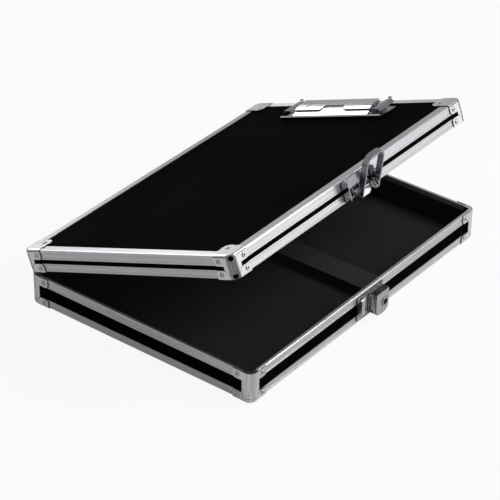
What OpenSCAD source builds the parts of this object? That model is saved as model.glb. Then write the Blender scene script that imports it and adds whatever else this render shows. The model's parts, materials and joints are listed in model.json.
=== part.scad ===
// Lockable storage clipboard: a shallow case with an edge-trimmed base tray, a hinged lid that
// is the writing board, a spring clip on the lid and a key-locked loop latch on the front.
// Millimetres. +Z up, +X along the long side towards the clip, latch side towards -Y.
// The origin is the centre of the base, on the plane that the case stands on.

/* [Case] */
// Outside length over the edge trims
case_l = 330; // [240:1:420]
// Outside width over the edge trims
case_w = 241; // [180:1:320]
// Height of the base tray, from the table to its rim
base_h = 30; // [26:0.5:60]
// Height of the lid, from its rim to the top of its edge trims
lid_h = 20.5; // [18:0.5:40]
// How far the lid stands open at rest, in degrees
open_angle = 20.8; // [2:0.1:90]
// Gap between the two rims when the lid is shut
seam = 0.4; // [0.2:0.05:1]

/* [Panels] */
// Thickness of the wall panels
wall_t = 2; // [1.5:0.1:4]
// Thickness of the floor panel and of the writing board
board_t = 2; // [1.5:0.1:4]
// Thickness of the lining
lining_t = 1; // [0.5:0.1:2]

/* [Edge trims] */
// Metal thickness of the trims
trim_t = 0.8; // [0.6:0.05:1.2]
// Width of the flange that lies on the floor panel or the board
flange_w = 8.6; // [6:0.1:12]
// Face height of the base's lower trim
base_edge_face = 8.4; // [6:0.1:10]
// Face height of the base's rim trim
base_rim_face = 8.5; // [6:0.1:10]
// Face height of the lid's upper trim
lid_edge_face = 8.75; // [6:0.05:9]
// Face height of the lid's rim trim
lid_rim_face = 7.75; // [5:0.05:8]
// Depth of the rim trim's inner leg
rim_lip = 5; // [3:0.1:8]
// Outer edge radius of a trim
edge_r = 1.8; // [1:0.1:2.4]
// Depth of the shallow channel that is rolled into each face
groove_d = 0.25; // [0.1:0.05:0.4]
// Width of the ridge on each side of that channel
ridge_w = 1.2; // [0.8:0.1:2]
// How far the trims stop short of a corner
trim_cut = 9; // [8.7:0.1:14]

/* [Corner caps] */
// Sheet thickness of the caps
cap_t = 0.8; // [0.6:0.05:1.2]
// Outside radius of an upright corner
corner_r = 7; // [5:0.5:9]
// Reach of a cap's arm along the case
cap_arm = 19; // [16:0.5:28]
// Radius of an arm's rounded end
cap_end_r = 3; // [1:0.1:3.5]
// Distance of a rivet from the corner
rivet_in = 14.5; // [12:0.1:18]
// Half width of the shield that joins the two caps of a corner
shield_w = 9.5; // [8:0.1:11]
// Seam between neighbouring caps
cap_gap = 0.35; // [0.2:0.05:0.6]
// Radius of the round lobe on the flat plate of a cap
lobe_r = 6.5; // [5:0.1:8]
// Distance of that lobe's rivet from both edges
lobe_in = 13.5; // [11:0.1:16]

/* [Rivets] */
// Radius of a rivet's head
rivet_r = 2.1; // [1.6:0.1:2.6]
// Height of a rivet's head
rivet_h = 0.9; // [0.6:0.1:1.2]
// Radius of a rivet's shank
shank_r = 1.2; // [0.8:0.1:1.5]

/* [Hinge] */
// Number of knuckles on the long hinge
knuckles = 13; // [5:2:21]
// Outside radius of a knuckle
knuckle_r = 2.2; // [1.8:0.1:2.6]
// Radius of the hinge pin
hinge_pin_r = 1; // [0.7:0.05:1.3]
// Thickness of a leaf
leaf_t = 0.8; // [0.6:0.05:1]
// Height of a leaf on the trim's face
leaf_h = 7; // [5:0.1:7.4]
// Distance of the hinge axis behind the trims
hinge_out = 2.6; // [2.5:0.05:4]
// Gap between knuckles
knuckle_gap = 0.4; // [0.2:0.05:1]

/* [Strap] */
// Width of the elastic strap
strap_w = 25; // [15:1:40]
// Thickness of the strap
strap_t = 1.2; // [0.8:0.1:2]
// Place of the strap along the case
strap_x = 27; // [-60:1:80]
// Height of the strap's span above the table
strap_z = 14; // [10:0.5:18]
// Height of the sewn end that is riveted to the wall
strap_tab = 9; // [7:0.5:12]

/* [Latch] */
// Place of the loop and the lock boss along the front
latch_x = 7; // [-40:1:40]
// Half width of the lid bracket and the lock plate
bracket_half = 19.5; // [17:0.5:24]
// Outside width of the loop
loop_w = 24.5; // [20:0.5:30]
// Metal thickness of the loop
loop_t = 1.4; // [1:0.1:2]
// Depth of the loop's strip, away from the case
loop_d = 5.5; // [4:0.1:6]
// Radius of the loop's corners
loop_r = 8.5; // [4:0.5:11]
// Distance of the lever pin from the trims
lever_out = 5.5; // [5:0.1:7]
// Height of the lever pin above the lid's rim
lever_up = 5.6; // [5.2:0.1:7]
// Radius of the lever pin
lever_pin_r = 1.1; // [0.8:0.05:1.4]
// Radius of the two loop pins
loop_pin_r = 1; // [0.8:0.05:1.3]
// Distance of the loop pins from the lever pin, along the lever
throw = 4.2; // [3.8:0.1:6]
// How far the loop pins sit inside the lever pin when latched
over_centre = 1; // [0.5:0.1:1.5]
// Length of the lever's plate beyond its pin
lever_tip = 8.4; // [8:0.1:9]
// Turn of the lever from open to latched, in degrees
lever_turn = 176; // [160:1:178]
// Lean of the open loop away from the lid, in degrees
loop_lean = 27; // [10:1:60]
// Sheet thickness of the bracket, the lever and the ears
plate_t = 1.2; // [0.8:0.1:1.4]
// Running clearance of every pin, on the radius
pin_play = 0.06; // [0.02:0.01:0.09]

/* [Lock] */
// Depth of the lock boss in front of the trims
boss_d = 10; // [9:0.1:12]
// Gap between the boss and the loop that drops round it
boss_play = 1.1; // [0.6:0.1:2]
// Height of the boss's top above the table
boss_top = 26.2; // [24:0.1:26.4]
// Radius of the key cylinder
cylinder_r = 3; // [2.5:0.1:4]
// Place of the key cylinder, from the middle of the boss
cylinder_x = 3.5; // [3:0.1:4.5]
// Travel of the lock bolt
bolt_throw = 5.3; // [4:0.1:6]
// Height of the lock bolt
bolt_h = 4; // [3:0.1:5]
// Thickness of the lock bolt
bolt_t = 1.6; // [1:0.1:1.8]

/* [Clip] */
// Distance of the clip's pin from the lid's far short edge
clip_in = 25; // [22:0.5:60]
// Length of the clip's front lip
clip_len = 118; // [100:1:150]
// Length of the clip's jaw between its rolled ends
jaw_len = 88; // [70:1:92]
// Height of the clip's pin above the board
clip_pin_up = 4.6; // [4.2:0.1:5.5]
// Radius of the clip's pin
clip_pin_r = 1; // [0.8:0.05:1.2]
// Sheet thickness of the clip
clip_t = 1; // [0.8:0.05:1.2]
// Outside radius of the rolled ends
roll_r = 4; // [3:0.1:4.3]
// Flat stretch between the two bends of a rolled end
roll_flat = 4; // [2:0.1:6]
// Width of the thumb tab in the middle of the jaw
thumb_w = 30; // [15:1:40]
// Height of the jaw's rear edge above the board
jaw_rear_up = 8.9; // [8.5:0.1:10]

/* [Hidden] */
$fn = 48;
SIDES = ["front", "right", "back", "left"];
CORNERS = ["front_left", "front_right", "back_right", "back_left"];
far = 60;
nudge = 0.01;

black = [0.06, 0.06, 0.065];
cloth = [0.1, 0.1, 0.11];
alu = [0.8, 0.81, 0.83];
steel = [0.72, 0.73, 0.75];
chrome = [0.86, 0.87, 0.89];

tray_h = base_h - cap_t;
rim_w = trim_t + wall_t + 0.6;
lid_z = base_h + seam;
lid_top = lid_z + lid_h;
board_top = lid_top - trim_t;
hinge_y = case_w / 2 + hinge_out;
hinge_z = base_h + seam / 2;
round_c = corner_r - cap_t;
front_y = -case_w / 2;
play = 0.3;

// ---------- shared placing ----------

// Half size of the case towards a side, and its length along that side
function reach(k) = (k % 2 == 0 ? case_w : case_l) / 2;
function span(k) = k % 2 == 0 ? case_l : case_w;
// Points of an arc, in steps of about 15 degrees
function arc(x, y, r, from, to) =
    [for (i = [0 : 6]) let (a = from + (to - from) * i / 6) [x + r * cos(a), y + r * sin(a)]];

// Turns a piece drawn for the front towards side k
module side(k) { rotate([0, 0, 90 * k]) children(); }

// Places a piece drawn for the front left corner, with x and y running inwards
module corner(k) {
    right = k == 1 || k == 2;
    back = k == 2 || k == 3;
    translate([(right ? 1 : -1) * case_l / 2, (back ? 1 : -1) * case_w / 2, 0])
        mirror([right ? 1 : 0, 0, 0]) mirror([0, back ? 1 : 0, 0]) children();
}

// The base and the lid are both trays: their pieces are drawn from the outer face upwards
module base_place() { translate([0, 0, cap_t]) children(); }
module lid_place() { lid_open() translate([0, 0, lid_top]) mirror([0, 0, 1]) children(); }
// Turns what is drawn on the shut lid to where the lid stands at rest
module lid_open() {
    translate([0, hinge_y, hinge_z]) rotate([-open_angle, 0, 0])
        translate([0, -hinge_y, -hinge_z]) children();
}
// Extrudes a profile of (inward, up) along a side of the case
module along_side(k, cut) {
    side(k) translate([-span(k) / 2 + cut, -reach(k), 0]) rotate([90, 0, 90])
        linear_extrude(span(k) - 2 * cut) children();
}

// ---------- trays ----------

module rounded_block(inset, r, h) {
    l = case_l - 2 * inset;
    w = case_w - 2 * inset;
    translate([-l / 2 + r, -w / 2, 0]) cube([l - 2 * r, w, h]);
    translate([-l / 2, -w / 2 + r, 0]) cube([l, w - 2 * r, h]);
    for (x = [-1, 1], y = [-1, 1])
        translate([x * (l / 2 - r), y * (w / 2 - r), 0]) cylinder(r = r, h = h);
}

module tray_wall(k, h) {
    len = span(k) - 2 * trim_t - (k % 2 == 0 ? 0 : 2 * wall_t);
    intersection() {
        side(k) translate([-len / 2, -reach(k) + trim_t, trim_t])
            cube([len, wall_t, h - trim_t - max(trim_t, cap_t)]);
        rounded_block(trim_t, round_c - trim_t, h);
    }
}

module tray_board() {
    in = trim_t + wall_t;
    translate([-case_l / 2 + in, -case_w / 2 + in, trim_t])
        cube([case_l - 2 * in, case_w - 2 * in, board_t]);
}

module tray_lining(h) {
    in = trim_t + wall_t;
    low = trim_t + board_t;
    l = case_l - 2 * in;
    w = case_w - 2 * in;
    difference() {
        translate([-l / 2, -w / 2, low]) cube([l, w, h - rim_lip - low]);
        translate([-l / 2 + lining_t, -w / 2 + lining_t, low + lining_t])
            cube([l - 2 * lining_t, w - 2 * lining_t, h]);
    }
}

// L-shaped trim round the edge of the floor or the board, with a channelled face
module edge_trim(k, face) {
    along_side(k, trim_cut) polygon(concat(
        arc(edge_r, edge_r, edge_r, 180, 270),
        [[flange_w, 0], [flange_w, trim_t], [trim_t, trim_t], [trim_t, face], [0, face],
         [0, face - ridge_w], [groove_d, face - ridge_w - groove_d],
         [groove_d, edge_r + ridge_w], [0, edge_r + ridge_w - groove_d]]));
}

// U-shaped trim over the rim of a wall
module rim_trim(k, h, face) {
    low = h - face;
    along_side(k, trim_cut) polygon(concat(
        [[0, low], [0, low + ridge_w], [groove_d, low + ridge_w + groove_d],
         [groove_d, h - 2 * ridge_w], [0, h - 2 * ridge_w + groove_d]],
        arc(ridge_w, h - ridge_w, ridge_w, 180, 90),
        [[rim_w - 0.3, h], [rim_w, h - 0.3], [rim_w, h - rim_lip],
         [trim_t + wall_t, h - rim_lip], [trim_t + wall_t, h - trim_t],
         [trim_t, h - trim_t], [trim_t, low]]));
}

// ---------- corner caps ----------

// Sweeps a profile of (outward from the corner's centre, up) round the corner and along two arms
module cap_sweep() {
    translate([round_c, round_c, 0]) {
        rotate([0, 0, 180]) rotate_extrude(angle = 90) children();
        rotate([90, 0, 90]) mirror([1, 0, 0]) linear_extrude(cap_arm - round_c) children();
        rotate([90, 0, 180]) linear_extrude(cap_arm - round_c) children();
    }
}

// Keeps what lies inside an outline of (along the case, up) on both faces of the corner
module both_faces() {
    intersection() {
        translate([0, far, 0]) rotate([90, 0, 0]) linear_extrude(2 * far) children();
        mirror([1, -1, 0]) translate([0, far, 0]) rotate([90, 0, 0])
            linear_extrude(2 * far) children();
    }
}

// Outline of an arm between two heights, with a rounded end
module arm_outline(low, high) {
    r = min(cap_end_r, (high - low) / 2 - nudge);
    polygon(concat([[-far, low]], arc(cap_arm - r, low + r, r, -90, 0),
        arc(cap_arm - r, high - r, r, 0, 90), [[-far, high]]));
}

// Outline of the shield over the upright corner, from its chamfered end to height high
module shield_outline(tip, high, grow) {
    slope = 4.7;
    polygon([[-far, tip - grow], [shield_w - 3.5, tip - grow], [shield_w + grow, tip + slope - grow],
        [shield_w + grow, high + grow], [-far, high + grow]]);
}

// The same shield with both ends chamfered
module lid_shield_outline(low, high, grow) {
    polygon([[-far, low - grow], [shield_w - 4, low - grow], [shield_w + grow, low + 3 - grow],
        [shield_w + grow, high - 4.7 + grow], [shield_w - 4, high + grow], [-far, high + grow]]);
}

// Round-nosed plate that lies on the flange, with its lobe round the rivet
module lobe_plate() {
    linear_extrude(cap_t) polygon(concat([[round_c, round_c], [round_c, edge_r]],
        [[cap_arm - 1, edge_r], [cap_arm + 1, flange_w - 2]],
        arc(lobe_in, lobe_in, lobe_r, -30, 120), [[flange_w - 2, cap_arm + 1],
        [edge_r, cap_arm - 1], [edge_r, round_c]]));
}

// Three-way cap over a bottom or top corner; heights count from the outer face of the trims
module corner_cap(face) {
    low = -cap_t;
    r = edge_r + cap_t;
    difference() {
        union() {
            intersection() {
                cap_sweep() polygon(concat(
                    arc(corner_r - r, low + r, r, 0, -90), [[0, low], [0, 0]],
                    arc(round_c - edge_r, edge_r, edge_r, -90, 0),
                    [[round_c, face], [corner_r, face]]));
                both_faces() arm_outline(low - cap_end_r, face);
            }
            translate([0, 0, low]) lobe_plate();
        }
        rivet_spots(face / 2 + 0.6) cylinder(r = shank_r, h = 2 * cap_t + 1, center = true);
    }
}

// Cap over a rim corner: its face band runs from low to h, with a flange over the rim
module rim_cap(low, h) {
    difference() {
        union() {
            intersection() {
                cap_sweep() translate([round_c, low]) square([cap_t, h - low]);
                both_faces() arm_outline(low, h + cap_end_r);
            }
            translate([0, 0, h - cap_t]) linear_extrude(cap_t) difference() {
                quadrant(-cap_t / 2, trim_cut, corner_r - cap_t / 2);
                quadrant(rim_w, trim_cut + 1, 2);
            }
        }
        rivet_spots((low + h) / 2) cylinder(r = shank_r, h = 2 * cap_t + 1, center = true);
    }
}

// Square from low to high in x and y, rounded at its outer corner
module quadrant(low, high, r) {
    polygon(concat(arc(low + r, low + r, r, 180, 270), [[high, low], [high, high], [low, high]]));
}

// Wall of a shield round the upright corner
module shield_wall(low, high) {
    intersection() {
        cap_sweep() translate([round_c, low]) square([cap_t, high - low]);
        children();
    }
}

// The two rivets of a cap, one on each face, with their axes outwards
module rivet_spots(up) {
    translate([rivet_in, 0, up]) rotate([90, 0, 0]) children();
    translate([0, rivet_in, up]) rotate([0, -90, 0]) children();
}

// A hollow rivet: domed head standing on z = seat, shank down to z = -deep
module rivet(seat, deep = 0) {
    rotate_extrude($fn = 24) polygon(concat([[0, -deep], [shank_r - 0.05, -deep],
        [shank_r - 0.05, seat], [rivet_r, seat]],
        arc(rivet_r - rivet_h, seat, rivet_h, 0, 90),
        [[0.7, seat + rivet_h], [0.5, seat + 0.3], [0, seat + 0.3]]));
}

// ---------- base ----------

base_rim_low = tray_h - base_rim_face;
base_shield_tip = 3.9;

module base_rim_caps() {
    color(steel) for (k = [0 : 3]) base_place() corner(k) {
        rim_cap(base_rim_low, tray_h);
        shield_wall(0, base_rim_low + nudge)
            both_faces() shield_outline(base_shield_tip, tray_h, 0);
    }
}

module foot_cap(k) {
    color(steel) base_place() corner(k) difference() {
        corner_cap(base_edge_face);
        intersection() {
            both_faces() shield_outline(base_shield_tip, tray_h, cap_gap);
            translate([-far, -far, 0]) cube([far + shield_w + cap_gap, far + shield_w + cap_gap, far]);
        }
    }
}

module base_rivets() {
    color(chrome) {
        base_place() for (k = [0 : 3]) corner(k) {
            rivet_spots((base_rim_low + tray_h) / 2) rivet(cap_t);
            rivet_spots(base_edge_face / 2 + 0.6) rivet(cap_t);
        }
        hinge_rivets(hinge_z - leaf_drop - leaf_h / 2);
        on_front(latch_x) lock_rivet_spots() rivet(plate_t);
    }
}

// ---------- lid ----------

lid_rim_low = lid_h - lid_rim_face;
corner_hole_r = 2.3;
lid_shield_low = 4.3;
lid_shield_high = 16.3;

module lid_rim_caps() {
    color(steel) for (k = [0 : 3]) lid_place() corner(k) difference() {
        rim_cap(lid_rim_low, lid_h);
        both_faces() lid_shield_outline(lid_shield_low, lid_shield_high, cap_gap);
        corner_hole(lid_h - 2.2);
    }
}

module lid_corner_cap(k) {
    color(steel) lid_place() corner(k) difference() {
        union() {
            difference() {
                corner_cap(lid_edge_face);
                translate([lobe_in, lobe_in, -cap_t]) cylinder(r = shank_r, h = 3 * cap_t, center = true);
            }
            shield_wall(lid_edge_face - nudge, lid_shield_high)
                both_faces() lid_shield_outline(lid_shield_low, lid_shield_high, 0);
        }
        corner_hole(2.6);
    }
}

// Hole through the upright corner, where the pressed sheet is left open
module corner_hole(up) {
    translate([0, 0, up]) rotate([90, 0, 135]) cylinder(r = corner_hole_r, h = 8, center = true);
}

module lid_rivets() {
    color(chrome) {
        lid_place() for (k = [0 : 3]) corner(k) {
            rivet_spots((lid_rim_low + lid_h) / 2) rivet(cap_t);
            rivet_spots(lid_edge_face / 2 + 0.6) rivet(cap_t);
            translate([lobe_in, lobe_in, 0]) mirror([0, 0, 1]) rivet(cap_t, trim_t);
        }
        lid_open() hinge_rivets(hinge_z + leaf_drop + leaf_h / 2);
        lid_front() bracket_rivet_spots() rivet(bracket_t);
    }
}

// ---------- hinge ----------

hinge_l = case_l - 2 * (cap_arm + 3);
knuckle_l = hinge_l / knuckles;
leaf_drop = 1;
hinge_rivet_count = 6;

module hinge_rivets(z) {
    pitch = hinge_l / hinge_rivet_count;
    for (i = [0 : hinge_rivet_count - 1])
        translate([-hinge_l / 2 + pitch * (i + 0.5), case_w / 2, z]) rotate([-90, 0, 0]) rivet(leaf_t);
}

// Barrel pieces of every second knuckle; own = 0 for the base, 1 for the lid
module knuckle_row(own, r, gap) {
    for (i = [own : 2 : knuckles - 1])
        translate([-hinge_l / 2 + knuckle_l * i + gap / 2, hinge_y, hinge_z]) rotate([0, 90, 0])
            cylinder(r = r, h = knuckle_l - gap);
}

// A leaf on the back face of the case; up = -1 for the base, 1 for the lid
module hinge_leaf(own, up) {
    pitch = hinge_l / hinge_rivet_count;
    z = hinge_z + up * (leaf_drop + leaf_h / 2);
    difference() {
        union() {
            translate([-hinge_l / 2, case_w / 2, min(z - leaf_h / 2, hinge_z)])
                cube([hinge_l, leaf_t, leaf_h + leaf_drop]);
            knuckle_row(own, knuckle_r, knuckle_gap);
        }
        knuckle_row(1 - own, knuckle_r + knuckle_gap, -knuckle_gap);
        translate([-hinge_l, hinge_y, hinge_z]) rotate([0, 90, 0])
            cylinder(r = hinge_pin_r + pin_play, h = 2 * hinge_l);
        for (i = [0 : hinge_rivet_count - 1])
            translate([-hinge_l / 2 + pitch * (i + 0.5), case_w / 2, z]) rotate([-90, 0, 0])
                cylinder(r = shank_r, h = 3 * leaf_t, center = true);
        translate([-hinge_l, case_w / 2 - 1, up > 0 ? hinge_z - far : hinge_z])
            cube([2 * hinge_l, 1 + hinge_out - knuckle_r + nudge, far]);
    }
}

module hinge_pin() {
    color(steel) translate([-hinge_l / 2 - 0.5, hinge_y, hinge_z]) rotate([0, 90, 0])
        cylinder(r = hinge_pin_r, h = hinge_l + 1);
}

// ---------- strap ----------

strap_half = case_w / 2 - trim_t - wall_t - lining_t;

module elastic_strap() {
    color(cloth) translate([strap_x - strap_w / 2, 0, 0]) rotate([90, 0, 90]) linear_extrude(strap_w)
        difference() {
            translate([-strap_half, strap_z - strap_tab]) square([2 * strap_half, strap_tab]);
            translate([-strap_half + strap_t, strap_z - strap_tab - nudge])
                square([2 * (strap_half - strap_t), strap_tab - strap_t + nudge]);
        }
}

module strap_rivets() {
    color(chrome) for (x = [-1, 1], k = [0, 2]) side(k)
        translate([(k == 0 ? 1 : -1) * strap_x + x * strap_w / 4, -strap_half + strap_t,
            strap_z - strap_t - (strap_tab - strap_t) / 2]) rotate([-90, 0, 0]) rivet_head();
}
module rivet_head() {
    rotate_extrude($fn = 24) polygon(concat([[0, 0], [rivet_r, 0]],
        arc(rivet_r - rivet_h, 0, rivet_h, 0, 90), [[0, rivet_h]]));
}

// ---------- lock on the base ----------

boss_w = loop_w - 2 * (loop_t + boss_play);
boss_low = 3.2;
lock_z = 14.5;
guard_w = 4.5;
guard_d = 5.5;
lock_plate_top = boss_top + 1;
bolt_out = lever_out - over_centre + loop_d / 2 + play;
bolt_l = boss_w / 2 + cylinder_x - cylinder_r - 1.5;

// Places a piece drawn in (x, up, outwards) on the front of the case
module on_front(x) { translate([x, front_y, 0]) rotate([90, 0, 0]) children(); }

module boss_outline(w, low, r) {
    translate([-w / 2, low + r]) square([w, boss_top - low - r]);
    translate([-w / 2 + r, low]) square([w - 2 * r, r + nudge]);
    for (x = [-1, 1]) translate([x * (w / 2 - r), low + r]) circle(r);
}

module lock_body() {
    r = loop_r - loop_t;
    color(chrome) on_front(latch_x) difference() {
        union() {
            translate([-lock_left, boss_low + 1.3, 0])
                cube([lock_left + boss_w / 2 + 3, lock_plate_top - boss_low - 1.3, plate_t]);
            linear_extrude(boss_d - 0.8) boss_outline(boss_w, boss_low, r);
            linear_extrude(boss_d) boss_outline(boss_w - 1.4, boss_low + 0.7, r - 0.7);
            translate([cylinder_x, lock_z, 0]) cylinder(r = cylinder_r + 1.4, h = boss_d + 0.6);
            translate([-lock_left, 0, 0]) rotate([90, 0, 90]) linear_extrude(guard_w) guard_outline();
        }
        translate([cylinder_x, lock_z, 3]) cylinder(r = cylinder_r + pin_play, h = boss_d);
        lock_rivet_spots() cylinder(r = shank_r, h = 3 * plate_t, center = true);
        boss_recess();
        translate([-boss_w / 2 - 1, lock_z - bolt_h / 2 - 0.1, bolt_out - 0.1])
            cube([bolt_l + 1.3, bolt_h + 0.2, bolt_t + 0.2]);
    }
}

recess_deep = 1.4;
recess_out = plate_t + 1.4;
recess_w = boss_d - recess_out - 2.4;

// Long hollow with round ends in the side of the boss
module boss_recess() {
    r = recess_w / 2;
    low = boss_low + 4 + r;
    high = boss_top - 2.6 - r;
    translate([-boss_w / 2 - 1, 0, recess_out + r]) {
        translate([0, low, -r]) cube([1 + recess_deep, high - low, recess_w]);
        for (z = [low, high]) translate([0, z, 0]) rotate([0, 90, 0]) cylinder(r = r, h = 1 + recess_deep);
    }
}

module lock_rivet_spots() {
    x = (guard_w - lock_left - boss_w / 2) / 2;
    for (z = [boss_low + 5.5, lock_plate_top - 4.5]) translate([x, z, 0]) children();
}

// Outline of the guard post in (up, outwards), rounded at both front corners
module guard_outline() {
    low = boss_low + 6;
    r = 2.2;
    polygon(concat([[low, 0], [low, guard_d - r]], arc(low + r, guard_d - r, r, 180, 90),
        arc(lock_plate_top - r, guard_d - r, r, 90, 0), [[lock_plate_top, 0]]));
}
lock_left = bracket_half + latch_x - 2;

module lock_cylinder() {
    color([0.3, 0.3, 0.32]) on_front(latch_x + cylinder_x) translate([0, lock_z, 3 + pin_play])
        difference() {
            cylinder(r = cylinder_r, h = boss_d - 3.2);
            translate([-0.6, -2.1, boss_d - 3.2 - 3]) cube([1.2, 4.2, far]);
            translate([0, -2.1, boss_d - 3.2 - 3]) cylinder(r = 0.9, h = far);
        }
}

module lock_bolt() {
    color(steel) on_front(latch_x) translate([-boss_w / 2, lock_z - bolt_h / 2, bolt_out])
        cube([bolt_l, bolt_h, bolt_t]);
}

// ---------- latch on the lid ----------

loop_out = lever_out - over_centre;
lever_w = loop_w - 2 * (loop_t + 0.4);
ear_half = 5;
ear_r = 2.3;
cheek_d = 7.5;
bracket_low = 1;
bracket_high = 19;
bracket_t = 1;
// Length of a leg, from the loop pins to the inside of the loop's end, 0.8 below the boss
leg_l = lid_z + lever_up + throw - (boss_low - 0.8);

module lid_front() { lid_open() translate([0, 0, lid_z]) on_front(latch_x) children(); }
// Turns what is drawn latched to where the open lever holds it
module lever_rest() {
    translate([0, lever_up, lever_out]) rotate([lever_turn, 0, 0])
        translate([0, -lever_up, -lever_out]) children();
}
// A pin across the latch at a height and a distance from the case
module cross_pin(up, out, r, half) {
    translate([-half, up, out]) rotate([0, 90, 0]) cylinder(r = r, h = 2 * half);
}
// Extrudes an outline of (outwards, up) along the latch
module cheek(x, t) {
    translate([x, 0, 0]) rotate([0, -90, 0]) mirror([0, 0, 1]) linear_extrude(t) children();
}

module latch_bracket() {
    left = bracket_half + latch_x - 2;
    right = loop_w / 2 + 1 + plate_t;
    color(chrome) lid_front() difference() {
        union() {
            translate([-left, bracket_low, 0])
                cube([left + right, bracket_high - bracket_low, bracket_t]);
            for (x = [-left, right - plate_t]) cheek(x, plate_t) cheek_outline();
            for (x = [-ear_half - plate_t / 2, ear_half - plate_t / 2]) cheek(x, plate_t) {
                polygon([[0.5, lever_up - ear_r], [lever_out, lever_up - ear_r],
                    [lever_out, lever_up + ear_r], [0.5, lever_up + 5]]);
                translate([lever_out, lever_up]) circle(ear_r);
            }
        }
        cross_pin(lever_up, lever_out, lever_pin_r + pin_play, far);
        bracket_rivet_spots() cylinder(r = shank_r, h = 3 * bracket_t, center = true);
    }
}
module bracket_rivet_spots() {
    x = -(bracket_half + latch_x - 2 + loop_w / 2) / 2;
    for (z = [bracket_low + 4.2, bracket_high - 4.2]) translate([x, z, 0]) children();
}
module cheek_outline() {
    r = 3;
    polygon(concat([[0, bracket_low]], arc(cheek_d - r, bracket_low + r, r, -90, 0),
        arc(cheek_d - r, bracket_high - r, r, 0, 90), [[0, bracket_high]]));
}

// Lever drawn latched: a plate over the pins, two flanges and a narrower thumb end
module latch_lever() {
    web_out = lever_out + ear_r + 0.6;
    web_low = lever_up + ear_r + 0.8;
    tip = lever_up + lever_tip;
    color(chrome) lid_front() lever_rest() difference() {
        union() {
            translate([-lever_w / 2, web_low, web_out])
                cube([lever_w, tip - 3.5 - web_low, plate_t]);
            translate([0, 0, web_out]) linear_extrude(plate_t) {
                translate([-lever_w / 2 + 5.2, tip - 3.5 - nudge]) square([lever_w - 10.4, 3.5]);
                for (x = [-1, 1]) translate([x * (lever_w / 2 - 5.2), tip - 3.5]) intersection() {
                    circle(2.7);
                    translate([-3, 0]) square([6, 3]);
                }
            }
            for (x = [-lever_w / 2, lever_w / 2 - plate_t]) cheek(x, plate_t) {
                translate([lever_out, lever_up]) circle(ear_r + 0.1);
                translate([loop_out, lever_up + throw]) circle(ear_r);
                polygon([[lever_out - ear_r, lever_up], [lever_out + ear_r, lever_up],
                    [web_out + plate_t, web_low], [web_out + plate_t, tip - 3.5],
                    [loop_out, tip - 3.5 + 0.8], [loop_out - ear_r, lever_up + throw]]);
            }
        }
        cross_pin(lever_up, lever_out, lever_pin_r + pin_play, far);
        cross_pin(lever_up + throw, loop_out, loop_pin_r + pin_play, far);
    }
}

module latch_lever_pin() {
    color(steel) lid_front() lever_rest()
        cross_pin(lever_up, lever_out, lever_pin_r, lever_w / 2);
}

// One headed pin in each flange; the loop's legs turn on their outer ends
module latch_loop_pins() {
    inner = lever_w / 2 - plate_t;
    color(steel) lid_front() lever_rest() for (x = [0, 1]) mirror([x, 0, 0])
        translate([inner - 0.8, lever_up + throw, loop_out]) rotate([0, 90, 0]) {
            cylinder(r = loop_pin_r, h = loop_w / 2 - inner + 0.8);
            cylinder(r = loop_pin_r + 0.6, h = 0.8);
        }
}

module latch_loop() {
    pin_up = lever_up + throw;
    turned = [0, pin_up, loop_out];
    color(chrome) lid_front() translate(loop_rest) rotate([-(180 - loop_lean), 0, 0])
        translate(-turned) difference() {
            intersection() {
                translate([0, 0, loop_out - loop_d / 2]) linear_extrude(loop_d) difference() {
                    loop_outline(loop_w / 2, leg_l + loop_t, loop_r, pin_up);
                    loop_outline(loop_w / 2 - loop_t, leg_l, loop_r - loop_t, pin_up + far);
                }
                cheek(-far, 2 * far) {
                    translate([loop_out, pin_up]) circle(loop_d / 2);
                    translate([loop_out - loop_d / 2, pin_up - far]) square([loop_d, far]);
                }
            }
            cross_pin(pin_up, loop_out, loop_pin_r + pin_play, far);
        }
}
// Half-open U with rounded corners, hanging down by len from the loop pins
module loop_outline(half, len, r, top) {
    pin_up = lever_up + throw;
    low = pin_up - len;
    translate([-half, low + r]) square([2 * half, top + loop_d - low - r]);
    translate([-half + r, low]) square([2 * half - 2 * r, r + nudge]);
    for (x = [-1, 1]) translate([x * (half - r), low + r]) circle(r);
}
// Where the lever holds the loop pins at rest, in (x, up, outwards)
loop_rest = [0,
    lever_up + throw * cos(lever_turn) + over_centre * sin(lever_turn),
    lever_out + throw * sin(lever_turn) - over_centre * cos(lever_turn)];

// ---------- clip on the lid ----------

clip_x = case_l / 2 - clip_in;
clip_y = -2;
lip_front = -17.5;
// Places on x where the base's plate, its rolled ends and the upper sheet start
plate_front = lip_front + 4.5;
roll_front = lip_front + 2.9;
cover_front = lip_front + 5.9;
clip_rear = 7.5;
ear_y = jaw_len / 2 + 1.2;
roll_in = ear_y + 0.8;
spring_l = 16;
clip_rivet_y = jaw_len / 2 - 20;

// Places a piece drawn with its pin on the y axis, on the board of the open lid
module clip_place() { lid_open() translate([clip_x, clip_y, board_top]) children(); }
// Extrudes an outline of (x, z) along the clip, between two places on y
module along_clip(from, to) {
    translate([0, to, 0]) rotate([90, 0, 0]) linear_extrude(to - from) children();
}
module clip_bore(r) {
    translate([0, -far * 2, clip_pin_up]) rotate([-90, 0, 0]) cylinder(r = r, h = far * 4);
}

// Rolled end in (y, z): a flat that turns up and back over itself, open away from the jaw
function roll_path() = let (y = roll_in + roll_r) concat([[y + roll_flat + 4, 0]],
    arc(y, roll_r, roll_r, 270, 180), arc(y, roll_r, roll_r, 165, 90),
    arc(y + roll_flat, roll_r, roll_r, 90, 25));

// Hook at the rear of a rolled end, in (x, z): it rises from the roll and curls forwards
hook_r = 1.3;
hook_path = concat([[clip_rear - 3, 2 * roll_r]],
    arc(clip_rear + 1, 2 * roll_r + hook_r, hook_r, 270, 400));

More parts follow.
